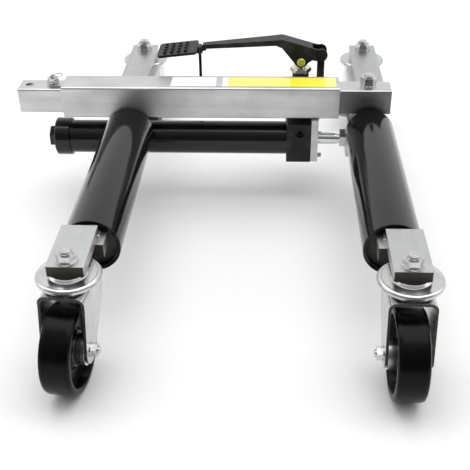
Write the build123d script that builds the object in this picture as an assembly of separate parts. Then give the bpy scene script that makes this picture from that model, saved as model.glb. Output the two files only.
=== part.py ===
"""Hydraulic wheel dolly: two roller arms on a telescopic square beam, drawn together by a foot pump.

Millimetres, +Z up, Z = 0 on the floor. The beam lies along X and the roller arms along Y, with
their open ends towards -Y. The origin is the middle of the object's footprint.
"""
from build123d import *
from math import atan2, cos, radians, sin, sqrt
import os

# ---- driving dimensions ----
ROLLER_SPACING = 335.0          # roller axis to roller axis, dolly closed
STROKE = 295.0                  # opening travel, 335 to 630
ROLLER_R = 33.3
ROLLER_WALL = 4.0
ROLLER_Z = 111.5
ROLLER_GAP = 24.0               # beam centre to the near end of a roller
ROLLER_END = 316.5              # beam centre to the far end of a roller

WHEEL_R = 50.0
WHEEL_W = 33.0
HUB_R = 17.0                    # steel hub, which is also the wheel's bore
CASTER_H = 130.0                # floor to the top of the swivel head
CASTER_OUT = 8.5                # swivel axis outside the roller axis
TRAIL = 29.0                    # swivel axis to wheel axle
FRONT_PIN = 388.0               # beam centre to the front swivel axis
REAR_PIN = 215.0                # beam centre to the rear swivel axis
HEAD_R = 35.0                   # swivel head radius
REST_YAW = -6.0                 # front left caster, turned a little from straight

OUTER_TUBE = 45.0
OUTER_WALL = 4.5
INNER_TUBE = 35.0
INNER_WALL = 3.0
TUBE_Z = CASTER_H + OUTER_TUBE / 2
OUTER_LEFT = 91.0               # left roller axis to the outer tube's left end
OUTER_RIGHT = 292.0             # left roller axis to the outer tube's right end
INNER_LEFT = 153.0              # left roller axis to the inner tube's left end
INNER_RIGHT = 362.5             # left roller axis to the inner tube's right end

BEAM_W = 39.0
BEAM_T = 16.0
BAR_W = 40.0
BAR_T = 12.0

CYL_Z = 90.6
CYL_R = 23.3
CYL_BORE = 18.0
ROD_R = 9.0
RUN = 0.06                      # radial running clearance
FIT = 0.05                      # radial clearance of a bolt or a pushed-in piece

# ---- places that follow from them ----
X_SPAN = INNER_LEFT + ROLLER_SPACING + CASTER_OUT + HEAD_R
XL = INNER_LEFT - X_SPAN / 2                    # left roller axis
XR = XL + ROLLER_SPACING                        # right roller axis
YAW_COS, YAW_SIN = cos(radians(REST_YAW)), abs(sin(radians(REST_YAW)))
FRONT_REACH = (TRAIL + WHEEL_R) * YAW_COS + (WHEEL_W / 2 - 4.4) * YAW_SIN
Y_SPAN = FRONT_PIN + FRONT_REACH + REAR_PIN + TRAIL + WHEEL_R
YT = FRONT_PIN + FRONT_REACH - Y_SPAN / 2       # beam centre line
Y_FRONT = YT - FRONT_PIN
Y_REAR = YT + REAR_PIN
BEAM_TOP = CASTER_H
BEAM_BOTTOM = BEAM_TOP - BEAM_T
BAR_TOP = BEAM_TOP + BAR_T
TUBE_TOP = TUBE_Z + OUTER_TUBE / 2
INNER_TOP = TUBE_Z + INNER_TUBE / 2
INNER_BOTTOM = TUBE_Z - INNER_TUBE / 2

# pump block and foot pump, X counted from the left roller axis
BLOCK_X0, BLOCK_X1 = XL + 220.5, XL + 254.8
BLOCK_Y0, BLOCK_Y1 = YT - 28.0, YT + 90.0
BLOCK_Z0, BLOCK_Z1 = 65.5, 122.5
PLATE_X1 = BLOCK_X1 + 9.5
PUMP_X, PUMP_Y = XL + 240.7, YT + 72.0
PUMP_R = 7.0
NECK_TOP = 163.0
GLAND_TOP = 169.0
PIN_Z = 180.5                   # piston pin
PIN_R = 4.0
FULCRUM_X, FULCRUM_Z = XL + 269.5, 190.7
CHEEK_GAP = 18.0                # between the lever's cheeks
CHEEK_T = 3.0
KNEE_X, KNEE_Z = XL + 214.0, 213.5
HANDLE_X, HANDLE_Z = XL + 93.8, 203.0
PAD_X, PAD_Z = XL + 91.5, 200.0   # right end of the foot pad's top
PAD_TILT = 6.3
VALVE_X, VALVE_Z = XL + 239.0, 109.6
LOCK_X = XL - 106.0
LOCK_R = 6.0                    # lock pin; the inner tube's holes are 0.1 larger
SPARE_X = XL - 139.0
ARM_BOLT_X = XR - 3.5
STOP_X = XL + OUTER_RIGHT + 7.7
LOCK_TRAVEL = 2.5
TONGUE_Z0, TONGUE_Z1 = INNER_TOP + 0.3, INNER_TOP + 2.3


# ---- small helpers ----
def block(x0, x1, y0, y1, z0, z1):
    """Box between two corners."""
    return Pos((x0 + x1) / 2, (y0 + y1) / 2, (z0 + z1) / 2) * Box(x1 - x0, y1 - y0, z1 - z0)


def bar(start, axis, radius, length):
    """Round bar from a start point along an axis."""
    align = (Align.CENTER, Align.CENTER, Align.MIN)
    return Plane(origin=start, z_dir=axis) * Cylinder(radius, length, align=align)


def hexagon(start, axis, across_flats, length):
    """Hexagonal prism from a start point along an axis, with its corners chamfered."""
    corner_r = across_flats / sqrt(3)
    plane = Plane(origin=start, z_dir=axis)
    prism = extrude(RegularPolygon(corner_r, 6), length)
    bevel = min(0.12 * across_flats, 0.22 * length)
    cone_r = across_flats / 2 + bevel * 1.6
    barrel = Cylinder(cone_r, length, align=(Align.CENTER, Align.CENTER, Align.MIN))
    barrel = chamfer(barrel.edges().filter_by(GeomType.CIRCLE), bevel)
    return plane * (prism & barrel)


def square_tube(x0, x1, side, wall, corner):
    """Square tube along X, centred on the beam's line."""
    outline = RectangleRounded(side, side, corner)
    hollow = RectangleRounded(side - 2 * wall, side - 2 * wall, max(corner - wall, 1.0))
    plane = Plane(origin=(x0, YT, TUBE_Z), x_dir=(0, 1, 0), z_dir=(1, 0, 0))
    return plane * extrude(outline - hollow, x1 - x0)


def ring(start, axis, outer, inner, length):
    """Hollow cylinder."""
    return bar(start, axis, outer, length) - bar(start, axis, inner, length)


def bolt(start, axis, radius, length, across_flats, head):
    """Bolt whose head lies behind the start point and whose shank runs along the axis."""
    direction = Vector(*axis)
    origin = Vector(*start)
    tip = chamfer(bar(start, axis, radius, length).edges().filter_by(GeomType.CIRCLE)[-1:], radius / 5)
    return tip + hexagon(origin - direction * head, axis, across_flats, head)


def nut(start, axis, radius, across_flats, height):
    """Hexagonal nut on a bolt of the given radius."""
    return hexagon(start, axis, across_flats, height) - bar(start, axis, radius + FIT, height)


def save(name, *solids):
    """Write one node; several solids stay separate."""
    shapes = [piece for item in solids for piece in item.solids()]
    shape = shapes[0] if len(shapes) == 1 else Compound(children=shapes)
    export_step(shape, f"parts/{name}.step")


# ---- beam ----
def outer_tube():
    return square_tube(XL - OUTER_LEFT, XL + OUTER_RIGHT, OUTER_TUBE, OUTER_WALL, 3.0)


def inner_tube():
    tube = square_tube(XL - INNER_LEFT, XL + INNER_RIGHT, INNER_TUBE, INNER_WALL, 2.5)
    for x in (SPARE_X, LOCK_X):
        tube -= bar((x, YT, INNER_TOP - 6), (0, 0, 1), LOCK_R + 2 * FIT, 12)
    tube -= bar((ARM_BOLT_X, YT, INNER_BOTTOM - 5), (0, 0, 1), 6 + FIT, INNER_TUBE + 10)
    tube -= bar((STOP_X, YT - 6, INNER_BOTTOM - 2), (0, 0, 1), 4 + FIT, 8)
    return tube


def lock_tongue():
    """Tongue on the end of the outer tube's top wall, which carries the lock pin."""
    end = XL - OUTER_LEFT
    tongue = block(LOCK_X, end, YT - 9, YT + 9, TONGUE_Z0, TONGUE_Z1)
    tongue += bar((LOCK_X, YT, TONGUE_Z0), (0, 0, 1), 9, TONGUE_Z1 - TONGUE_Z0)
    return tongue - bar((LOCK_X, YT, INNER_TOP), (0, 0, 1), LOCK_R + RUN, 6)


def lock_pin():
    """Pin with a hexagonal head and a pull ring, drawn clear of the inner tube by its travel."""
    head_z = TONGUE_Z1 + LOCK_TRAVEL + 0.1
    eye_z = head_z + 8.0
    shank = bar((LOCK_X, YT, TONGUE_Z0), (0, 0, 1), LOCK_R, 10)
    shank = chamfer(shank.edges().filter_by(GeomType.CIRCLE), 0.6)
    pin = shank + bar((LOCK_X, YT, head_z), (0, 0, 1), 8.5, 1.4)
    pin += hexagon((LOCK_X, YT, head_z + 1.2), (0, 0, 1), 13, 4.8)
    pin += block(LOCK_X - 2.5, LOCK_X + 2.5, YT - 1.5, YT + 1.5, head_z + 5, eye_z)
    pin += bar((LOCK_X, YT - 1.5, eye_z), (0, 1, 0), 2.5, 3)
    pin -= bar((LOCK_X, YT - 3, eye_z), (0, 1, 0), 1.3, 6)
    lean = radians(8)
    pull = Pos(LOCK_X + 7.2 * cos(lean), YT, eye_z + 7.2 * sin(lean)) * Rot(0, -8, 0) * Torus(7.2, 0.8)
    return pin, pull


def closing_stop():
    """Screw and nut in the inner tube's lower wall, which meets the outer tube when closed."""
    x, y = STOP_X, YT - 6
    screw = bolt((x, y, INNER_BOTTOM), (0, 0, 1), 4, 12, 13, 5.5)
    return screw, nut((x, y, INNER_BOTTOM + INNER_WALL), (0, 0, 1), 4, 13, 6.5)


# ---- roller arms ----
def axle_beam(x, bolt_x=None):
    """Flat bar that runs under the beam and through the roller."""
    beam = block(x - BEAM_W / 2, x + BEAM_W / 2, Y_FRONT + 47, Y_REAR - 44, BEAM_BOTTOM, BEAM_TOP)
    if bolt_x is not None:
        beam -= bar((bolt_x, YT, BEAM_BOTTOM - 1), (0, 0, 1), 6 + FIT, BEAM_T + 2)
    return beam


def caster_bars(x):
    """Front and rear flat bars, welded on top of the axle beam, each with a swivel bolt hole."""
    bars = []
    spans = ((Y_FRONT - 12.5, YT - ROLLER_END - 4, Y_FRONT), (YT + OUTER_TUBE / 2, Y_REAR + 17, Y_REAR))
    for y0, y1, pin_y in spans:
        flat = block(x - BAR_W / 2, x + BAR_W / 2, y0, y1, BEAM_TOP, BAR_TOP)
        flat = chamfer(flat.edges().filter_by(Axis.Z), 0.8)
        bars.append(flat - bar((x, pin_y, BEAM_TOP - 1), (0, 0, 1), 6 + FIT, BAR_T + 2))
    return bars


def roller_tube(x):
    tube = ring((x, YT - ROLLER_GAP, ROLLER_Z), (0, -1, 0), ROLLER_R, ROLLER_R - ROLLER_WALL,
                ROLLER_END - ROLLER_GAP)
    return chamfer(tube.edges().filter_by(GeomType.CIRCLE), 0.8)


def roller_bearings(x):
    """Two plastic discs keyed on the axle beam, on which the roller turns."""
    discs = []
    radius = ROLLER_R - ROLLER_WALL - RUN
    slot = block(x - BEAM_W / 2 - FIT, x + BEAM_W / 2 + FIT, YT - 400, YT, BEAM_BOTTOM - FIT, BEAM_TOP + FIT)
    for start in (ROLLER_GAP + 8, ROLLER_END - 24):
        discs.append(bar((x, YT - start, ROLLER_Z), (0, -1, 0), radius, 14) - slot)
    return discs


def spacer():
    """Packing piece between the inner tube and the right axle beam."""
    half = BEAM_W / 2
    pad = block(XR - half, XR + half, YT - INNER_TUBE / 2, YT + INNER_TUBE / 2, BEAM_TOP, INNER_BOTTOM)
    return pad - bar((ARM_BOLT_X, YT, BEAM_TOP - 1), (0, 0, 1), 6 + FIT, 8)


def frame_bolt():
    """Bolt through the right axle beam, packing piece and inner tube, with spring washer and nut."""
    washer_z = INNER_TOP
    nut_z = washer_z + 3.5
    shank = nut_z + 10 + 4 - BEAM_BOTTOM
    return (bolt((ARM_BOLT_X, YT, BEAM_BOTTOM), (0, 0, 1), 6, shank, 19, 7.5),
            ring((ARM_BOLT_X, YT, washer_z), (0, 0, 1), 10.5, 6 + FIT, 3.5),
            nut((ARM_BOLT_X, YT, nut_z), (0, 0, 1), 6, 19, 10))


# ---- casters ----
def swivel_head(x, y):
    """Pressed steel dish with a rolled rim and a raised seat under the bar."""
    top = CASTER_H
    inner, roll, rim_z = 6 + FIT, 3.6, CASTER_H - 6.4
    outline = Polyline((inner, top), (19, top), (21.5, top - 2.6), (HEAD_R - 3, top - 3.2),
                       (HEAD_R - 3, top - 9.0), (20.5, top - 5.6), (18.5, top - 3.4),
                       (inner, top - 3.4), (inner, top))
    section = Plane.XZ * make_face(outline)
    section += Plane.XZ * (Pos(HEAD_R - roll, rim_z) * Circle(roll))
    return Pos(x, y, 0) * revolve(section, Axis.Z)


def swivel_balls(x, y):
    """Ring of balls between the head and the fork crown."""
    ball_r, pitch_r, count = 2.5, 24.5, 18
    balls = []
    for i in range(count):
        turn = radians(360 / count * i)
        centre = (x + pitch_r * cos(turn), y + pitch_r * sin(turn), CASTER_H - 11.9 + ball_r)
        balls.append(Pos(*centre) * Sphere(ball_r))
    return balls


def kingpin(x, y):
    """Swivel bolt with its flange nut on top of the bar."""
    head_z = CASTER_H - 15.5
    shank = BAR_TOP + 14.5 - head_z
    screw = bolt((x, y, head_z), (0, 0, 1), 6, shank, 19, 5.5)
    flange = ring((x, y, BAR_TOP), (0, 0, 1), 12, 6 + FIT, 1.8)
    cap = nut((x, y, BAR_TOP + 1.2), (0, 0, 1), 6, 19, 8.4)
    collar = ring((x, y, BAR_TOP + 9), (0, 0, 1), 7.75, 6 + FIT, 2.8)
    return screw, flange + cap + collar


def fork(x, y, side):
    """Bent sheet fork: a round crown and two tapered legs down to the wheel axle."""
    outer, thick, crown_top = 25.0, 3.0, CASTER_H - 11.95
    crown_t = 3.5
    leg_end = 15.0
    tall = crown_top + leg_end
    profile = Pos(0, 0) * RectangleRounded(2 * outer, 2 * tall, 9.0)
    hollow = RectangleRounded(2 * (outer - thick), 2 * (tall - crown_t), 6.5)
    section = (profile - hollow) & Pos(0, tall / 2) * Rectangle(4 * outer, tall)
    base_z = crown_top - tall
    shell = Plane(origin=(0, 150, base_z), x_dir=(1, 0, 0), z_dir=(0, -1, 0)) * extrude(section, 300)
    outline = Polyline((-28, crown_top + 1), (33, crown_top + 1), (33, 106), (TRAIL + 14.8, 52),
                       (TRAIL, WHEEL_R - leg_end), (TRAIL - 12.8, 42.5), (-22, 84), (-28, 96),
                       (-28, crown_top + 1))
    side_plane = Plane(origin=(-60, 0, 0), x_dir=(0, 1, 0), z_dir=(1, 0, 0))
    blade = side_plane * extrude(make_face(outline), 120)
    blade += bar((-60, TRAIL, WHEEL_R), (1, 0, 0), leg_end, 120)
    shape = shell & blade
    keep = bar((0, 0, crown_top - 12), (0, 0, 1), 32, 20) + block(-60, 60, -60, 90, 0, crown_top - 11.9)
    keep += block(-60, 60, 10, 90, 0, crown_top + 1)
    shape &= keep
    shape -= bar((0, 0, crown_top - 10), (0, 0, 1), 6 + RUN, 20)
    shape -= bar((-60, TRAIL, WHEEL_R), (1, 0, 0), 4 + FIT, 120)
    turn = 0 if side > 0 else 180
    return Pos(x, y, 0) * Rot(0, 0, turn) * shape


def axle_bolt(x, y, side, inner):
    """Wheel axle: a bolt with a low round head outside, its washer and nut inside."""
    yc = y + side * TRAIL
    along = (inner, 0, 0)
    shank = bar((x - inner * 25.5, yc, WHEEL_R), along, 4, 50.5 + 1.0 + 6 + 2.4)
    shank = chamfer(shank.edges().filter_by(GeomType.CIRCLE), 0.8)
    head = bar((x - inner * 25.0, yc, WHEEL_R), (-inner, 0, 0), 5.5, 2.5)
    head = chamfer(head.edges().filter_by(GeomType.CIRCLE).sort_by(Axis.X)[-1 if inner < 0 else 0], 1.2)
    washer = ring((x + inner * 25.0, yc, WHEEL_R), along, 8, 4 + FIT, 1.0)
    return shank + head, washer, nut((x + inner * 26.0, yc, WHEEL_R), along, 4, 13, 6)


def wheel(x, y, side):
    """Solid wheel with rounded shoulders, sunk sides and a short hub."""
    half, hub_r, hub_half = WHEEL_W / 2, 21.0, 10.0
    rim_r, web_half = 41.5, 7.0
    profile = Polyline((HUB_R, 0), (HUB_R, hub_half), (hub_r - 1.5, hub_half), (hub_r, hub_half - 1.5),
                       (hub_r + 2, web_half), (rim_r - 2, web_half), (rim_r, half - 1.2),
                       (rim_r + 1.2, half), (WHEEL_R - 3.6, half), (WHEEL_R - 1.0, half - 1.3),
                       (WHEEL_R, half - 4.4), (WHEEL_R, 0), (HUB_R, 0))
    plane = Plane(origin=(0, 0, 0), x_dir=(0, 0, 1), z_dir=(0, -1, 0))
    section = plane * make_face(profile)
    half_wheel = revolve(section, Axis.X)
    body = half_wheel + mirror(half_wheel, Plane.YZ)
    return Pos(x, y + side * TRAIL, WHEEL_R) * body


def hub_bush(x, y, side):
    """Steel bush pressed in the wheel, turning on the axle bolt."""
    start = (x - 21.7, y + side * TRAIL, WHEEL_R)
    return ring(start, (1, 0, 0), HUB_R, 4 + RUN, 43.4)


# ---- cylinder ----
def cylinder_barrel():
    return ring((XL - 102, YT, CYL_Z), (1, 0, 0), CYL_R, CYL_BORE, 102 + 228)


def cylinder_cap():
    """Screwed end cap with a hexagonal boss."""
    x = XL - 109
    cup = bar((x, YT, CYL_Z), (1, 0, 0), 26.7, 21.5)
    cup = chamfer(cup.edges().filter_by(GeomType.CIRCLE), 1.2)
    cup -= bar((x + 7, YT, CYL_Z), (1, 0, 0), CYL_R + FIT, 30)
    return cup + hexagon((x - 9.5, YT, CYL_Z), (1, 0, 0), 27, 10)


def cylinder_piston():
    x = XL - 95
    body = ring((x, YT, CYL_Z), (1, 0, 0), CYL_BORE - RUN, 6 + FIT, 18)
    for offset in (3.5, 11.5):
        body -= ring((x + offset, YT, CYL_Z), (1, 0, 0), CYL_BORE, 15, 3)
    return body


def piston_seals():
    x = XL - 95
    return [ring((x + offset + 0.1, YT, CYL_Z), (1, 0, 0), CYL_BORE - 0.03, 15.05, 2.8)
            for offset in (3.5, 11.5)]


def piston_rod():
    """Rod with a spigot for the piston, an undercut and a threaded end in the lug."""
    rod = bar((XL - 95, YT, CYL_Z), (1, 0, 0), 6, 18)
    rod += bar((XL - 77, YT, CYL_Z), (1, 0, 0), ROD_R, 77 + 292)
    rod += bar((XL + 292, YT, CYL_Z), (1, 0, 0), 7.2, 4)
    return rod + bar((XL + 296, YT, CYL_Z), (1, 0, 0), 8, 19.5)


def rod_lug():
    """Plate under the right arm that takes the rod's threaded end."""
    x0, x1 = XL + 304.5, XR - BEAM_W / 2
    plate = block(x0, x1, YT - 24, YT + 24, 70, 128)
    plate = chamfer(plate.edges().filter_by(Axis.X).group_by(Axis.Z)[0], 6)
    return plate - bar((x0 - 1, YT, CYL_Z), (1, 0, 0), 8 + FIT, 20)


# ---- pump block ----
def pump_block():
    """Steel block with the cylinder socket, rod bore, pump bore with its neck, and valve bore."""
    body = block(BLOCK_X0, BLOCK_X1, BLOCK_Y0, BLOCK_Y1, BLOCK_Z0, BLOCK_Z1)
    body = chamfer(body.edges(), 1.0)
    body += bar((PUMP_X, PUMP_Y, BLOCK_Z1 - 2), (0, 0, 1), 12, NECK_TOP - BLOCK_Z1 + 2)
    body -= bar((BLOCK_X0 - 1, YT, CYL_Z), (1, 0, 0), CYL_R + FIT, 8.8)
    body -= bar((BLOCK_X0, YT, CYL_Z), (1, 0, 0), ROD_R + RUN, 40)
    body -= bar((PUMP_X, PUMP_Y, 80), (0, 0, 1), PUMP_R, 100)
    body -= bar((PUMP_X, PUMP_Y, 68), (0, 0, 1), 3.6, 20)
    body -= bar((VALVE_X, BLOCK_Y0 - 1, VALVE_Z), (0, 1, 0), 5.75, 17)
    for y, z in screw_places():
        body -= bar((BLOCK_X1 - 6, y, z), (1, 0, 0), 3 + FIT, 10)
    return body


def screw_places():
    return [(YT + dy, z) for dy in (-21, 21) for z in (74, 116)]


def mount_plate():
    """Plate welded under the outer tube, which carries the block and the lever post."""
    plate = block(BLOCK_X1, PLATE_X1, YT - 28, YT + 86, 67, BEAM_TOP)
    plate -= bar((BLOCK_X1 - 1, YT, CYL_Z), (1, 0, 0), ROD_R + 1, 20)
    for y, z in screw_places():
        plate -= bar((BLOCK_X1 - 1, y, z), (1, 0, 0), 3 + FIT, 20)
    return plate


def block_screws():
    """Studs from the block through the plate; the lower two stand out on the far side."""
    studs = []
    for y, z in screw_places():
        proud = 6.0 if z < CYL_Z else 0.0
        stud = bar((BLOCK_X1 - 5.5, y, z), (1, 0, 0), 3, 5.5 + 9.5 + proud)
        studs.append(chamfer(stud.edges().filter_by(GeomType.CIRCLE), 0.6))
    return studs


def lever_post():
    """Upright bar, welded on the plate, that carries the lever's fulcrum pin."""
    half = 5.0
    x0 = PLATE_X1
    cx = FULCRUM_X
    post = block(x0, cx + half, PUMP_Y - half, PUMP_Y + half, 96, FULCRUM_Z)
    post += bar((cx, PUMP_Y - half, FULCRUM_Z), (0, 1, 0), cx - x0, 2 * half)
    return post - bar((cx, PUMP_Y - 10, FULCRUM_Z), (0, 1, 0), PIN_R + RUN, 20)


def gland_nut():
    """Hexagonal nut that closes the pump bore round the piston."""
    body = hexagon((PUMP_X, PUMP_Y, NECK_TOP), (0, 0, 1), 27, GLAND_TOP - NECK_TOP)
    return body - bar((PUMP_X, PUMP_Y, NECK_TOP - 1), (0, 0, 1), PUMP_R, 20)


def pump_piston():
    """Plunger with an eye, slotted sideways because the lever's pin swings on an arc."""
    radius = PUMP_R - RUN
    bottom = 100.0
    rod = bar((PUMP_X, PUMP_Y, bottom), (0, 0, 1), radius, PIN_Z - bottom - 4)
    eye = bar((PUMP_X - 0.8, PUMP_Y - 7, PIN_Z), (0, 1, 0), 9.8, 14)
    slot_left = bar((PUMP_X - 1.8, PUMP_Y - 10, PIN_Z), (0, 1, 0), PIN_R + 0.2, 20)
    slot_right = bar((PUMP_X, PUMP_Y - 10, PIN_Z), (0, 1, 0), PIN_R + 0.2, 20)
    middle = block(PUMP_X - 1.8, PUMP_X, PUMP_Y - 10, PUMP_Y + 10, PIN_Z - PIN_R - 0.2, PIN_Z + PIN_R + 0.2)
    return rod + eye - slot_left - slot_right - middle


def pump_spring():
    """Return spring under the plunger."""
    turns, wire, coil_r, low = 4, 0.8, 5.4, 81.0
    path = Helix(4.2, 4.2 * turns, coil_r)
    start = Plane(origin=path @ 0, z_dir=path % 0)
    coil = sweep(start * Circle(wire), path, is_frenet=True)
    return Pos(PUMP_X, PUMP_Y, low) * coil


def release_valve():
    """Valve screw sunk in the block's front face, with a hexagonal socket."""
    start = (VALVE_X, BLOCK_Y0 + 15.5, VALVE_Z)
    screw = bar(start, (0, -1, 0), 5.75 - RUN, 12)
    socket = Plane(origin=(VALVE_X, BLOCK_Y0 + 3.5, VALVE_Z), z_dir=(0, 1, 0))
    return screw - socket * extrude(RegularPolygon(3.2, 6), 5)


# ---- foot lever ----
def lever_channel():
    """Bent channel: two cheeks down to the piston pin and the fulcrum, and a sloping web."""
    top_right_z = KNEE_Z - 14.0
    right_x = XL + 262.0
    outline = [(KNEE_X - 9, KNEE_Z - 0.75), (KNEE_X, KNEE_Z), (right_x, top_right_z),
               (FULCRUM_X + 5.5, 197.6), (FULCRUM_X + 8.5, FULCRUM_Z), (FULCRUM_X + 6, 183.6),
               (FULCRUM_X - 5, 181.8),
               (XL + 256.5, 183.2), (XL + 251.0, 179.4), (PUMP_X + 7, 175.2), (PUMP_X, 171.6),
               (PUMP_X - 7, 175.4), (KNEE_X - 1, 201.0), (KNEE_X - 9, 204.4)]
    half = CHEEK_GAP / 2 + CHEEK_T
    plane = Plane(origin=(0, PUMP_Y - half, 0), x_dir=(1, 0, 0), z_dir=(0, -1, 0))
    face = make_face(Polyline(*outline, close=True))
    body = plane * extrude(face, -2 * half)
    body += bar((PUMP_X, PUMP_Y - half, PIN_Z), (0, 1, 0), 8.2, 2 * half)
    body += bar((FULCRUM_X, PUMP_Y - half, FULCRUM_Z), (0, 1, 0), 8.6, 2 * half)
    slope = atan2(KNEE_Z - top_right_z, right_x - KNEE_X)
    web_under = [(KNEE_X - 30, KNEE_Z - 6.3), (KNEE_X, KNEE_Z - 3.4),
                 (XL + 257, KNEE_Z - 3.4 - sin(slope) / cos(slope) * 43), (XL + 257, 240),
                 (FULCRUM_X + 20, 240), (FULCRUM_X + 20, 150), (KNEE_X - 30, 150)]
    inside = Plane(origin=(0, PUMP_Y - CHEEK_GAP / 2, 0), x_dir=(1, 0, 0), z_dir=(0, -1, 0))
    body -= inside * extrude(make_face(Polyline(*web_under, close=True)), -CHEEK_GAP)
    for x, z in ((PUMP_X, PIN_Z), (FULCRUM_X, FULCRUM_Z)):
        body -= bar((x, PUMP_Y - half - 1, z), (0, 1, 0), PIN_R + FIT, 2 * half + 2)
    return body - lever_handle()


def handle_plane():
    """Plane along the handle: X towards the channel, Z normal to the handle's top."""
    rise = atan2(KNEE_Z - 0.9 - HANDLE_Z, KNEE_X - 9 - HANDLE_X)
    return Plane(origin=(HANDLE_X, PUMP_Y, HANDLE_Z), x_dir=(cos(rise), 0, sin(rise)),
                 z_dir=(-sin(rise), 0, cos(rise)))


def knuckle():
    """Short barrel under the handle's end, slotted for the hook."""
    return bar((0, -7, -7.5), (0, 1, 0), 5.2, 14)


def lever_handle():
    """Tapered flat bar, welded to the channel, with a slotted knuckle and pin for the hook."""
    length = (KNEE_X - 8 - HANDLE_X) / 0.9965
    side = make_face(Polyline((5.5, 0), (length, 0), (length, -8), (5.5, -6), (5.5, 0)))
    edge = Plane(origin=(0, -15, 0), x_dir=(1, 0, 0), z_dir=(0, -1, 0))
    flat = edge * extrude(side, -30)
    plan = make_face(Polyline((5, -6), (length, -11.7), (length, 11.7), (5, 6), (5, -6)))
    flat = flat & Pos(0, 0, -10) * extrude(plan, 20)
    bridge = Pos(5, 0, -7.2) * Box(9, 11, 3.4)
    head = knuckle() + bridge + flat - Pos(0, 0, -9.5) * Box(20, 5, 11)
    pin = bar((0, -5, -7.5), (0, 1, 0), 1.5, 10)
    return handle_plane() * (head + pin)


def foot_pad():
    """Steel tread plate with rows of round studs, notched round the knuckle."""
    frame = Plane(origin=(PAD_X, PUMP_Y, PAD_Z), x_dir=(cos(radians(PAD_TILT)), 0, sin(radians(PAD_TILT))),
                  z_dir=(-sin(radians(PAD_TILT)), 0, cos(radians(PAD_TILT))))
    length, width, thick = 57.0, 50.0, 3.5
    plate = Pos(-length / 2, 0, -thick / 2) * Box(length, width, thick)
    plate = fillet(plate.edges().filter_by(Axis.Z), 5)
    for i in range(4):
        for j in range(4):
            x = -16.5 - 10 * i
            y = (j - 1.5) * 10.5
            plate += Pos(x, y, -0.2) * Cone(2.8, 1.9, 3.0, align=(Align.CENTER, Align.CENTER, Align.MIN))
    return frame * plate - handle_plane() * knuckle()


def hook_axis():
    """Axis of the hook's pin, in the part's frame."""
    return handle_plane().from_local_coords(Vector(0, 0, -7.5))


def hold_down_hook():
    """Round rod that hangs from the knuckle, with an eye on top and a hook below."""
    pivot = hook_axis()
    wire, low, bend = 2.1, 122.0, 5.5
    eye = bar((pivot.X, PUMP_Y - 2.3, pivot.Z), (0, 1, 0), 3.3, 4.6)
    rod = bar((pivot.X, PUMP_Y, low), (0, 0, 1), wire, pivot.Z - 2 - low)
    arc = Torus(bend, wire - 0.1, major_angle=180, align=None)
    arc = Pos(pivot.X - bend, PUMP_Y, low) * Rot(-90, 0, 0) * arc
    tip = bar((pivot.X - 2 * bend, PUMP_Y, low), (0, 0, 1), wire, 6)
    body = eye + rod + arc + tip
    for x in (pivot.X, pivot.X - 2 * bend):
        body += Pos(x, PUMP_Y, low) * Sphere(wire + 0.1)
    return body - bar((pivot.X, PUMP_Y - 4, pivot.Z), (0, 1, 0), 1.5 + RUN, 8)


def cross_pin(x, z, radius, head_r):
    """Pin across the lever's cheeks with a head in front and a clip behind."""
    half = CHEEK_GAP / 2 + CHEEK_T
    pin = bar((x, PUMP_Y - half - 2.5, z), (0, 1, 0), head_r, 2.5)
    pin = chamfer(pin.edges().filter_by(GeomType.CIRCLE), 0.7)
    pin += bar((x, PUMP_Y - half - 1, z), (0, 1, 0), radius, 2 * half + 4)
    clip = ring((x, PUMP_Y + half + 0.2, z), (0, 1, 0), radius + 2.2, radius + 0.05, 1.2)
    return pin, clip


# ---- labels ----
def label(x0, x1):
    """Blank sticker on top of the outer tube."""
    return block(x0, x1, YT - 16, YT + 16, TUBE_TOP, TUBE_TOP + 0.3)


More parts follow.
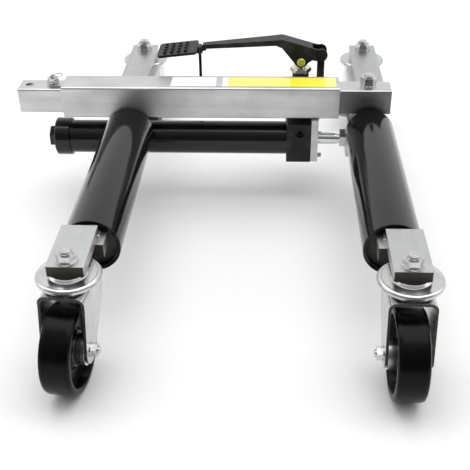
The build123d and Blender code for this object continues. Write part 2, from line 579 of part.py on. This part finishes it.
def main():
    os.makedirs("parts", exist_ok=True)
    save("outer_tube", outer_tube())
    save("inner_tube", inner_tube())
    save("lock_tongue", lock_tongue())
    save("lock_pin", *lock_pin())
    save("closing_stop_screw", *closing_stop())
    save("arm_spacer", spacer())
    save("arm_bolt", *frame_bolt())
    for name, x, out in (("left", XL, -1), ("right", XR, 1)):
        pin_x = x + out * CASTER_OUT
        save(f"{name}_axle_beam", axle_beam(x, ARM_BOLT_X if out > 0 else None))
        save(f"{name}_caster_bars", *caster_bars(pin_x))
        save(f"{name}_roller_tube", roller_tube(x))
        save(f"{name}_roller_bearings", *roller_bearings(x))
        places = (("front", Y_FRONT, -1), ("rear", Y_REAR, 1))
        save(f"{name}_swivel_heads", *[swivel_head(pin_x, y) for _, y, _ in places])
        save(f"{name}_swivel_balls", *[ball for _, y, _ in places for ball in swivel_balls(pin_x, y)])
        save(f"{name}_kingpins", *[piece for _, y, _ in places for piece in kingpin(pin_x, y)])
        for end, y, side in places:
            yaw = REST_YAW if (end, name) == ("front", "left") else 0.0
            turn = Pos(pin_x, y, 0) * Rot(0, 0, yaw)
            save(f"{end}_{name}_fork", turn * fork(0, 0, side))
            save(f"{end}_{name}_axle_bolt", *[turn * piece for piece in axle_bolt(0, 0, side, -out)])
            save(f"{end}_{name}_wheel", turn * wheel(0, 0, side))
            save(f"{end}_{name}_hub_bush", turn * hub_bush(0, 0, side))
    save("cylinder_barrel", cylinder_barrel())
    save("cylinder_end_cap", cylinder_cap())
    save("cylinder_piston", cylinder_piston())
    save("piston_seals", *piston_seals())
    save("piston_rod", piston_rod())
    save("rod_lug", rod_lug())
    save("rod_jam_nut", nut((XL + 296, YT, CYL_Z), (1, 0, 0), 8, 24, 8.5))
    save("pump_block", pump_block())
    save("mount_plate", mount_plate())
    save("block_studs", *block_screws())
    save("lever_post", lever_post())
    save("pump_gland_nut", gland_nut())
    save("pump_piston", pump_piston())
    save("pump_return_spring", pump_spring())
    save("release_valve_screw", release_valve())
    save("lever_channel", lever_channel())
    save("lever_handle", lever_handle())
    save("foot_pad", foot_pad())
    save("hold_down_hook", hold_down_hook())
    save("piston_pin", *cross_pin(PUMP_X, PIN_Z, PIN_R, 6.0))
    save("fulcrum_pin", *cross_pin(FULCRUM_X, FULCRUM_Z, PIN_R, 6.0))
    save("white_label", label(XL + 60, XL + 139))
    save("yellow_label", label(XL + 139.5, XL + 287))


main()
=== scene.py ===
"""Looks of the wheel dolly: materials, fine pieces, studio floor, light and camera."""
import math
import random

import bmesh
import bpy
from mathutils import Matrix, Vector


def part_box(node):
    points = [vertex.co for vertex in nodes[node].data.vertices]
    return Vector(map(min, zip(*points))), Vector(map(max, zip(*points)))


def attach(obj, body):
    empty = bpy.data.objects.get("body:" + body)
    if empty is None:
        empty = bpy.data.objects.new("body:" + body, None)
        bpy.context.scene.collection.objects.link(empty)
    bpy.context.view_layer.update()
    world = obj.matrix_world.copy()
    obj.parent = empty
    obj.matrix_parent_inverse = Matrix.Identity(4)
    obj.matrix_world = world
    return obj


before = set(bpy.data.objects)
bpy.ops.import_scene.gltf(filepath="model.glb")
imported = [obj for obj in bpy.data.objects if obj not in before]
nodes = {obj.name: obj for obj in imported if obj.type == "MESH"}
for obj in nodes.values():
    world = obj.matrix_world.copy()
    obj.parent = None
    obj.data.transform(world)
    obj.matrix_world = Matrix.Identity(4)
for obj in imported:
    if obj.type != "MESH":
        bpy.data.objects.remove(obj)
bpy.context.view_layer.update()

MM = 0.001
CASTERS = [f"{end}_{side}" for end in ("front", "rear") for side in ("left", "right")]


# ---------------------------------------------------------------- node helpers
class Graph:
    """A material's node tree, with short calls for the nodes used here."""

    def __init__(self, name):
        self.mat = bpy.data.materials.new(name)
        self.mat.use_nodes = True
        self.tree = self.mat.node_tree
        self.tree.nodes.clear()
        out = self.tree.nodes.new("ShaderNodeOutputMaterial")
        self.bsdf = self.tree.nodes.new("ShaderNodeBsdfPrincipled")
        self.link(self.bsdf.outputs[0], out.inputs["Surface"])
        self.coords = self.tree.nodes.new("ShaderNodeTexCoord").outputs["Object"]

    def link(self, a, b):
        self.tree.links.new(a, b)

    def set(self, node, key, value):
        if hasattr(value, "is_linked"):
            self.link(value, node.inputs[key])
        else:
            node.inputs[key].default_value = value

    def mapped(self, scale, offset=(0, 0, 0)):
        node = self.tree.nodes.new("ShaderNodeMapping")
        self.link(self.coords, node.inputs["Vector"])
        node.inputs["Scale"].default_value = scale
        node.inputs["Location"].default_value = offset
        return node.outputs[0]

    def noise(self, vector, scale, detail=3.0, rough=0.5):
        node = self.tree.nodes.new("ShaderNodeTexNoise")
        self.link(vector, node.inputs["Vector"])
        node.inputs["Scale"].default_value = scale
        node.inputs["Detail"].default_value = detail
        node.inputs["Roughness"].default_value = rough
        return node.outputs["Fac"]

    def remap(self, value, low, high, to_low, to_high):
        node = self.tree.nodes.new("ShaderNodeMapRange")
        self.link(value, node.inputs["Value"])
        for key, number in zip(("From Min", "From Max", "To Min", "To Max"), (low, high, to_low, to_high)):
            node.inputs[key].default_value = number
        return node.outputs[0]

    def mix(self, factor, a, b):
        node = self.tree.nodes.new("ShaderNodeMix")
        node.data_type = "RGBA"
        self.set(node, 0, factor)
        for socket, value in ((node.inputs[6], a), (node.inputs[7], b)):
            if hasattr(value, "is_linked"):
                self.link(value, socket)
            else:
                socket.default_value = (*value, 1.0)
        return node.outputs[2]

    def math(self, operation, a, b):
        node = self.tree.nodes.new("ShaderNodeMath")
        node.operation = operation
        self.set(node, 0, a)
        self.set(node, 1, b)
        return node.outputs[0]

    def bump(self, height, strength, distance, normal=None):
        node = self.tree.nodes.new("ShaderNodeBump")
        self.link(height, node.inputs["Height"])
        node.inputs["Strength"].default_value = strength
        node.inputs["Distance"].default_value = distance
        if normal is not None:
            self.link(normal, node.inputs["Normal"])
        return node.outputs[0]

    def rounded(self, radius):
        node = self.tree.nodes.new("ShaderNodeBevel")
        node.samples = 4
        node.inputs["Radius"].default_value = radius
        return node.outputs[0]

    def edge_mask(self, low, high):
        """1 on convex edges, from the mesh's pointiness."""
        node = self.tree.nodes.new("ShaderNodeNewGeometry")
        return self.remap(node.outputs["Pointiness"], low, high, 0.0, 1.0)

    def facing(self, axis, low, high):
        """1 where the surface faces either way along an axis."""
        split = self.tree.nodes.new("ShaderNodeSeparateXYZ")
        self.link(self.tree.nodes.new("ShaderNodeTexCoord").outputs["Normal"], split.inputs[0])
        size = self.math("ABSOLUTE", split.outputs["XYZ".index(axis)], 0.0)
        return self.remap(size, low, high, 0.0, 1.0)

    def finish(self, **inputs):
        for key, value in inputs.items():
            self.set(self.bsdf, key.replace("_", " "), value)
        return self.mat


# Painted shade: dark colour for faces that look along Y, standing in for shade and dark reflection.
Y_FACE_SHADE = (0.075, 0.070, 0.060)
# Painted shade: darker zinc for the inner tube's front and back sides past the outer tube.
SIDE_SHADE_ZINC = (0.17, 0.17, 0.172)
STREAKS_ACROSS, STREAKS_ALONG = 90.0, 3.0     # streak noise per metre
FAR_RIGHT = 1.0                               # metres, past the beam's end in any pose


def zinc(name, along, tint=(0.68, 0.685, 0.685), rough=(0.28, 0.46), shade_y_faces=False, side_shade_from=None):
    """Bright zinc plate: rolling streaks along one axis over large soft clouds.

    Faces that look along Y (sawn or sheared ends, sheet edges) can be painted dark as painted shade
    and dark reflection; past a given X place the sliding tube's front and back sides get painted shade.
    """
    g = Graph(name)
    stretch = [STREAKS_ACROSS] * 3
    if along is not None:
        stretch["XYZ".index(along)] = STREAKS_ALONG
    streaks = g.noise(g.mapped(stretch), 1.0, 4.0, 0.6)
    clouds = g.noise(g.mapped((1, 1, 1)), 22.0, 4.0, 0.55)
    fine = g.noise(g.mapped((1, 1, 1)), 900.0, 2.0)
    tone = g.math("ADD", g.remap(streaks, 0.3, 0.7, 0.0, 0.45), g.remap(clouds, 0.3, 0.7, 0.0, 0.55))
    dark = tuple(c * 0.72 for c in tint)
    colour = g.mix(tone, dark, tint)
    roughness = g.remap(tone, 0.0, 1.0, rough[1], rough[0])
    # Painted shade: faces that look along Y are darkened, as if in shade and mirroring the dark front.
    if shade_y_faces:
        y_face_shade_mask = g.facing("Y", 0.93, 0.97)
        colour = g.mix(y_face_shade_mask, colour, Y_FACE_SHADE)
        roughness = g.math("MAXIMUM", roughness, g.math("MULTIPLY", y_face_shade_mask, 0.5))
    # Painted shade: the tube's front and back sides past the X place are painted darker.
    if side_shade_from is not None:
        wear_and_shade = g.math("MULTIPLY", box_mask(g, side_shade_from, FAR_RIGHT, 4 * MM), g.facing("Y", 0.7, 0.9))
        colour = g.mix(g.math("MULTIPLY", wear_and_shade, 0.85), colour, SIDE_SHADE_ZINC)
    normal = g.bump(g.math("ADD", streaks, g.math("MULTIPLY", fine, 0.3)), 0.06, 0.0005, g.rounded(0.0007))
    return g.finish(Base_Color=colour, Metallic=1.0, Roughness=roughness, Normal=normal)


def plated(name, tint, rough=0.22):
    """Bright plated fastener with a slight colour drift."""
    g = Graph(name)
    clouds = g.noise(g.mapped((1, 1, 1)), 160.0, 3.0)
    colour = g.mix(g.remap(clouds, 0.3, 0.7, 0.0, 1.0), tuple(c * 0.82 for c in tint), tint)
    roughness = g.remap(clouds, 0.3, 0.7, rough + 0.10, rough - 0.04)
    normal = g.bump(g.noise(g.mapped((1, 1, 1)), 1400.0, 2.0), 0.06, 0.0003, g.rounded(0.0004))
    return g.finish(Base_Color=colour, Metallic=1.0, Roughness=roughness, Normal=normal)


def enamel(name, colour, rough, specular, peel, wear=0.0):
    """Black paint: orange peel, dust-soft roughness clouds, rubbed edges."""
    g = Graph(name)
    clouds = g.noise(g.mapped((1, 1, 1)), 35.0, 5.0, 0.6)
    peel_noise = g.noise(g.mapped((1, 1, 1)), 420.0, 1.0)
    light = tuple(c * 1.5 + 0.002 for c in colour)
    base = g.mix(g.remap(clouds, 0.35, 0.7, 0.0, 1.0), colour, light)
    if wear:
        wear_and_shade = g.math("MULTIPLY", g.edge_mask(0.53, 0.60), g.remap(clouds, 0.45, 0.65, 0.0, wear))
        base = g.mix(wear_and_shade, base, (0.16, 0.16, 0.165))
    roughness = g.remap(clouds, 0.3, 0.75, rough * 0.8, rough * 1.3)
    normal = g.bump(peel_noise, peel, 0.0004, g.rounded(0.0008))
    return g.finish(Base_Color=base, Roughness=roughness, Normal=normal, Specular_IOR_Level=specular)


def polymer(name, colour, rough, specular=0.4):
    """Moulded plastic: a fine pebble with faint flow clouds."""
    g = Graph(name)
    clouds = g.noise(g.mapped((1, 1, 1)), 30.0, 4.0)
    pebble = g.noise(g.mapped((1, 1, 1)), 1500.0, 2.0)
    base = g.mix(g.remap(clouds, 0.3, 0.7, 0.0, 1.0), colour, tuple(c * 1.5 + 0.001 for c in colour))
    roughness = g.remap(clouds, 0.3, 0.7, rough - 0.05, rough + 0.07)
    normal = g.bump(pebble, 0.10, 0.0003, g.rounded(0.0006))
    return g.finish(Base_Color=base, Roughness=roughness, Normal=normal, Specular_IOR_Level=specular)


def machined(name, tint, rough, rings_axis):
    """Turned or ground metal: fine rings across one axis."""
    g = Graph(name)
    stretch = [4.0, 4.0, 4.0]
    stretch["XYZ".index(rings_axis)] = 1800.0
    rings = g.noise(g.mapped(stretch), 1.0, 3.0)
    clouds = g.noise(g.mapped((1, 1, 1)), 60.0, 3.0)
    colour = g.mix(g.remap(clouds, 0.3, 0.7, 0.0, 1.0), tuple(c * 0.86 for c in tint), tint)
    roughness = g.remap(rings, 0.2, 0.8, rough * 0.7, rough * 1.4)
    normal = g.bump(rings, 0.05, 0.0002, g.rounded(0.0004))
    return g.finish(Base_Color=colour, Metallic=1.0, Roughness=roughness, Normal=normal)


def box_mask(g, x0, x1, soft=0.0006):
    """1 between two X places of the shared frame, with a soft edge."""
    split = g.tree.nodes.new("ShaderNodeSeparateXYZ")
    g.link(g.coords, split.inputs[0])
    left = g.remap(split.outputs[0], x0 - soft, x0 + soft, 0.0, 1.0)
    right = g.remap(split.outputs[0], x1 - soft, x1 + soft, 1.0, 0.0)
    return g.math("MULTIPLY", left, right)


def sticker(name, film, patch, x0, x1):
    """Blank printed film with one block of a second colour."""
    g = Graph(name)
    mask = box_mask(g, x0, x1)
    mottle = g.noise(g.mapped((1, 1, 1)), 260.0, 3.0)
    base = g.mix(mask, film, patch)
    base = g.mix(g.remap(mottle, 0.35, 0.75, 0.0, 0.10), base, tuple(c * 0.8 for c in film))
    normal = g.bump(g.noise(g.mapped((1, 1, 1)), 120.0, 2.0), 0.05, 0.0003)
    return g.finish(Base_Color=base, Roughness=0.34, Normal=normal, Coat_Weight=0.2)


# ---------------------------------------------------------------- materials on the CAD nodes
ZINC_X = zinc("zinc_along_x", "X")
# The inner tube's sides past the outer tube's end get painted shade.
ZINC_INNER = zinc("zinc_inner_tube", "X", side_shade_from=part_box("outer_tube")[1].x - 0.006)
# Painted shade on the faces that look along Y, here and on the pressed zinc below.
ZINC_Y = zinc("zinc_along_y", "Y", (0.56, 0.565, 0.57), (0.28, 0.42), shade_y_faces=True)
ZINC_PLATE = zinc("zinc_flat_plate", "X", (0.62, 0.625, 0.63), (0.26, 0.40))
ZINC_PRESSED = zinc("zinc_pressed", None, (0.66, 0.665, 0.67), (0.16, 0.28), shade_y_faces=True)
ZINC_WELD = zinc("zinc_weld", None, (0.52, 0.52, 0.51), (0.30, 0.45))
FASTENER = plated("zinc_fastener", (0.64, 0.64, 0.635), 0.16)
YELLOW_ZINC = plated("yellow_zinc", (0.84, 0.82, 0.66), 0.20)
GREEN_ZINC = plated("green_yellow_zinc", (0.96, 0.98, 0.20), 0.36)
GLOSS_BLACK = enamel("gloss_black_paint", (0.0035, 0.0035, 0.004), 0.11, 0.42, 0.05)
SATIN_BLACK = enamel("satin_black_paint", (0.0055, 0.0055, 0.006), 0.40, 0.26, 0.20, 0.22)
WHEEL_BLACK = polymer("wheel_polymer", (0.0010, 0.0010, 0.0013), 0.24, 0.13)
BEARING_PLASTIC = polymer("bearing_polymer", (0.05, 0.05, 0.053), 0.5)
SEAL = polymer("seal_rubber", (0.012, 0.012, 0.012), 0.5)
ROD = machined("chromed_rod", (0.86, 0.87, 0.88), 0.10, "X")
PLUNGER = machined("polished_plunger", (0.82, 0.83, 0.84), 0.14, "Z")
STEEL = machined("ground_steel", (0.74, 0.75, 0.76), 0.26, "X")
SPRING = plated("spring_steel", (0.46, 0.46, 0.47), 0.35)
IRON = machined("machined_iron", (0.34, 0.34, 0.35), 0.38, "X")

white_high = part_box("white_label")[1]
yellow_low, yellow_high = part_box("yellow_label")
WHITE_FILM = sticker("white_film", (0.90, 0.90, 0.91), (0.50, 0.50, 0.53), white_high.x - 0.017,
                     white_high.x - 0.008)
YELLOW_FILM = sticker("yellow_film", (0.93, 0.87, 0.22), (0.90, 0.80, 0.02), yellow_low.x + 0.085,
                      yellow_high.x - 0.014)

ASSIGN = {
    ZINC_X: ["outer_tube", "lock_tongue"],
    ZINC_INNER: ["inner_tube"],
    ZINC_Y: ["left_axle_beam", "right_axle_beam", "left_caster_bars", "right_caster_bars"],
    ZINC_PLATE: ["mount_plate", "arm_spacer", "rod_lug"],
    ZINC_PRESSED: ["left_swivel_heads", "right_swivel_heads"] + [f"{c}_fork" for c in CASTERS],
    FASTENER: ["lock_pin", "closing_stop_screw", "arm_bolt", "left_kingpins", "right_kingpins", "rod_jam_nut",
               "block_studs"] + [f"{c}_axle_bolt" for c in CASTERS],
    YELLOW_ZINC: ["pump_gland_nut"],
    GREEN_ZINC: ["piston_pin"],
    GLOSS_BLACK: ["left_roller_tube", "right_roller_tube", "cylinder_barrel", "cylinder_end_cap"],
    SATIN_BLACK: ["pump_block", "lever_post", "lever_channel", "lever_handle", "foot_pad", "hold_down_hook",
                  "release_valve_screw", "fulcrum_pin"],
    WHEEL_BLACK: [f"{c}_wheel" for c in CASTERS],
    BEARING_PLASTIC: ["left_roller_bearings", "right_roller_bearings"],
    SEAL: ["piston_seals"],
    ROD: ["piston_rod"],
    PLUNGER: ["pump_piston"],
    STEEL: ["left_swivel_balls", "right_swivel_balls"] + [f"{c}_hub_bush" for c in CASTERS],
    SPRING: ["pump_return_spring"],
    IRON: ["cylinder_piston"],
    WHITE_FILM: ["white_label"],
    YELLOW_FILM: ["yellow_label"],
}
for material, names in ASSIGN.items():
    for name in names:
        slots = nodes[name].data.materials
        if len(slots) == 0:
            slots.append(material)
        for i in range(len(slots)):
            slots[i] = material


# ---------------------------------------------------------------- fine pieces
def add_mesh(name, mesh, material, body):
    """Put a finished mesh on a CAD body, with its material."""
    obj = bpy.data.objects.new(name, mesh)
    bpy.context.scene.collection.objects.link(obj)
    mesh.materials.append(material)
    for face in mesh.polygons:
        face.use_smooth = True
    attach(obj, body)
    return obj


def skin(name, build, loops):
    """Close a row of equal vertex loops into a solid mesh, with a face on each end."""
    around = len(loops[0])
    for low, high in zip(loops, loops[1:]):
        for k in range(around):
            build.faces.new((low[k], low[(k + 1) % around], high[(k + 1) % around], high[k]))
    build.faces.new(reversed(loops[0]))
    build.faces.new(loops[-1])
    bmesh.ops.recalc_face_normals(build, faces=build.faces)
    mesh = bpy.data.meshes.new(name)
    build.to_mesh(mesh)
    build.free()
    return mesh


WELD_AROUND = 12              # corners round a bead
RINGS_PER_SCALE = 4           # cross-sections in one scale of a bead


def weld(name, start, end, radius, body, material):
    """A hand-laid weld bead: overlapping scales with uneven width, flattened at both ends."""
    start, end = Vector(start), Vector(end)
    run = end - start
    length = run.length
    forward = run.normalized()
    helper = Vector((0, 0, 1)) if abs(forward.z) < 0.9 else Vector((1, 0, 0))
    side = forward.cross(helper).normalized()
    lift = side.cross(forward).normalized()
    chance = random.Random(name)
    scale_length = radius * 0.75
    count = max(4, round(length / scale_length)) * RINGS_PER_SCALE
    build = bmesh.new()
    loops = []
    for i in range(count + 1):
        t = i / count
        step = i % RINGS_PER_SCALE
        if step == 0:
            width = chance.uniform(0.88, 1.08)
        ripple = 0.90 + 0.14 * (1 - step / RINGS_PER_SCALE)
        taper = min(1.0, math.sqrt(max(0.0, min(t, 1 - t)) * length / radius) + 0.12)
        r = radius * width * ripple * taper
        centre = start + run * t
        loops.append([build.verts.new(centre + (side * math.cos(a) + lift * math.sin(a)) * r)
                      for a in (2 * math.pi * k / WELD_AROUND for k in range(WELD_AROUND))])
    return add_mesh(name, skin(name, build, loops), material, body)


STEPS_PER_TURN = 28           # sections in one turn of a thread


def thread(name, start, along, radius, length, pitch, body):
    """Rolled thread round a shank: one helical ridge with a V section."""
    start, along = Vector(start), Vector(along).normalized()
    helper = Vector((0, 0, 1)) if abs(along.z) < 0.9 else Vector((1, 0, 0))
    side = along.cross(helper).normalized()
    other = along.cross(side).normalized()
    turns = (length - pitch) / pitch
    count = max(STEPS_PER_TURN, round(turns * STEPS_PER_TURN))
    crest, root = radius + 0.30 * MM, radius - 0.05 * MM
    build = bmesh.new()
    rows = []
    for i in range(count + 1):
        angle = 2 * math.pi * i / STEPS_PER_TURN
        out = side * math.cos(angle) + other * math.sin(angle)
        base = start + along * (pitch * i / STEPS_PER_TURN)
        rows.append([build.verts.new(base + out * r + along * z)
                     for r, z in ((root, 0.02 * pitch), (crest, 0.42 * pitch), (crest, 0.58 * pitch),
                                  (root, 0.98 * pitch))])
    return add_mesh(name, skin(name, build, rows), FASTENER, body)


tube_low, tube_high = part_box("outer_tube")
beam_low, beam_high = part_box("left_axle_beam")
right_beam_low, right_beam_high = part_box("right_axle_beam")
plate_low, plate_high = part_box("mount_plate")
post_low, post_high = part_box("lever_post")
lug_low, lug_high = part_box("rod_lug")

for side, y in (("front", tube_low.y), ("rear", tube_high.y)):
    weld(f"beam_weld_{side}", (beam_low.x + 2 * MM, y, beam_high.z), (beam_high.x - 2 * MM, y, beam_high.z),
         2.6 * MM, "left_frame", ZINC_WELD)
for side, x in (("left", plate_low.x), ("right", plate_high.x)):
    low_y, high_y, z = tube_low.y + 4 * MM, tube_high.y - 4 * MM, plate_high.z - 1 * MM
    weld(f"plate_weld_{side}", (x, low_y, z), (x, high_y, z), 2.2 * MM, "left_frame", ZINC_WELD)
for side, y in (("front", post_low.y), ("rear", post_high.y)):
    weld(f"post_weld_{side}", (plate_high.x, y, post_low.z + 2 * MM),
         (plate_high.x, y, plate_high.z - 2 * MM), 1.8 * MM, "left_frame", SATIN_BLACK)
for side, y in (("front", lug_low.y), ("rear", lug_high.y)):
    weld(f"lug_weld_{side}", (lug_high.x, y, right_beam_low.z + 2 * MM),
         (lug_high.x, y, right_beam_high.z - 3 * MM), 2.0 * MM, "right_frame", ZINC_WELD)
for hand, low, high in (("left", beam_low, beam_high), ("right", right_beam_low, right_beam_high)):
    bar_low, bar_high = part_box(f"{hand}_caster_bars")
    bar_edge = bar_high.x if hand == "left" else bar_low.x
    top = high.z
    runs = (("front", low.y + 14 * MM, low.y + 46 * MM), ("rear", high.y - 74 * MM, high.y - 14 * MM))
    for end, y0, y1 in runs:
        weld(f"{hand}_{end}_bar_weld", (bar_edge, y0, top), (bar_edge, y1, top), 2.2 * MM, f"{hand}_frame",
             ZINC_WELD)

for hand in ("left", "right"):
    low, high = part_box(f"{hand}_kingpins")
    pin_x = (low.x + high.x) / 2
    flange_r = (high.x - low.x) / 2
    for end, y in (("front", low.y + flange_r), ("rear", high.y - flange_r)):
        thread(f"{hand}_{end}_kingpin_thread", (pin_x, y, high.z - 2.9 * MM), (0, 0, 1), 6 * MM,
               2.4 * MM, 1.0 * MM, f"{hand}_frame")
arm_low, arm_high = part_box("arm_bolt")
thread("arm_bolt_thread", ((arm_low.x + arm_high.x) / 2, (arm_low.y + arm_high.y) / 2, arm_high.z - 4 * MM),
       (0, 0, 1), 6 * MM, 3.4 * MM, 1.1 * MM, "right_frame")
stud_low, stud_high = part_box("block_studs")
for end, y in (("front", stud_low.y + 3 * MM), ("rear", stud_high.y - 3 * MM)):
    thread(f"stud_thread_{end}", (plate_high.x, y, stud_low.z + 3 * MM), (1, 0, 0), 3 * MM,
           5.4 * MM, 0.8 * MM, "left_frame")


# ---------------------------------------------------------------- studio
def area_light(name, place, target, size, power, size_y=None):
    data = bpy.data.lights.new(name, "AREA")
    data.shape = "RECTANGLE"
    data.size = size
    data.size_y = size_y or size
    data.energy = power
    lamp = bpy.data.objects.new(name, data)
    bpy.context.scene.collection.objects.link(lamp)
    lamp.location = place
    lamp.rotation_euler = (Vector(target) - Vector(place)).to_track_quat("-Z", "Y").to_euler()
    return lamp


def floor():
    mesh = bpy.data.meshes.new("studio_floor")
    half = 6.0
    corners = [(-half, -half, 0), (half, -half, 0), (half, half, 0), (-half, half, 0)]
    mesh.from_pydata(corners, [], [(0, 1, 2, 3)])
    obj = bpy.data.objects.new("studio_floor", mesh)
    bpy.context.scene.collection.objects.link(obj)
    g = Graph("studio_floor")
    speck = g.noise(g.mapped((1, 1, 1)), 3.0, 2.0)
    grey = g.mix(speck, (0.90, 0.90, 0.90), (0.92, 0.92, 0.92))
    mesh.materials.append(g.finish(Base_Color=grey, Roughness=0.65))


def studio_world(front, back):
    """A soft sky: dim towards the front, bright towards the back and above."""
    world = bpy.data.worlds.new("studio")
    world.use_nodes = True
    tree = world.node_tree
    background = tree.nodes["Background"]
    coords = tree.nodes.new("ShaderNodeTexCoord")
    split = tree.nodes.new("ShaderNodeSeparateXYZ")
    tree.links.new(coords.outputs["Generated"], split.inputs[0])
    lift = tree.nodes.new("ShaderNodeMath")
    lift.operation = "MULTIPLY_ADD"
    tree.links.new(split.outputs[2], lift.inputs[0])
    lift.inputs[1].default_value = 0.7
    tree.links.new(split.outputs[1], lift.inputs[2])
    ramp = tree.nodes.new("ShaderNodeMapRange")
    ramp.interpolation_type = "SMOOTHSTEP"
    tree.links.new(lift.outputs[0], ramp.inputs["Value"])
    for key, number in (("From Min", -0.75), ("From Max", 0.95), ("To Min", front), ("To Max", back)):
        ramp.inputs[key].default_value = number
    background.inputs[0].default_value = (1.0, 1.0, 1.0, 1.0)
    tree.links.new(ramp.outputs[0], background.inputs[1])
    bpy.context.scene.world = world


floor()
studio_world(0.14, 0.98)
area_light("top_softbox", (0.1, 0.25, 2.4), (0, 0.05, 0.0), 3.4, 40.0, 2.4)
area_light("left_softbox", (-2.2, -0.1, 1.3), (0, 0, 0.1), 1.4, 6.0, 1.4)
area_light("right_softbox", (2.3, 0.0, 1.3), (0.1, 0, 0.1), 1.4, 6.0, 1.4)

# ---------------------------------------------------------------- camera
YAW, PITCH, ROLL = math.radians(-2.929), math.radians(33.102), math.radians(-0.888)
SENSOR_MM, LENS_MM = 36.0, 64.155
CAMERA_AT = (0.08759, -0.99785, 0.63041)
forward = Vector((math.sin(YAW) * math.cos(PITCH), math.cos(YAW) * math.cos(PITCH), -math.sin(PITCH)))
level_right = Vector((math.cos(YAW), -math.sin(YAW), 0.0))
level_up = level_right.cross(forward)
right = math.cos(ROLL) * level_right + math.sin(ROLL) * level_up
up = -math.sin(ROLL) * level_right + math.cos(ROLL) * level_up
camera_data = bpy.data.cameras.new("camera")
camera_data.sensor_fit = "HORIZONTAL"
camera_data.sensor_width = SENSOR_MM
camera_data.lens = LENS_MM
camera = bpy.data.objects.new("camera", camera_data)
bpy.context.scene.collection.objects.link(camera)
camera.matrix_world = Matrix.Translation(CAMERA_AT) @ Matrix(
    ((right.x, up.x, -forward.x), (right.y, up.y, -forward.y), (right.z, up.z, -forward.z))).to_4x4()
bpy.context.scene.camera = camera
bpy.context.scene.view_settings.view_transform = "Standard"

bpy.context.view_layer.update()
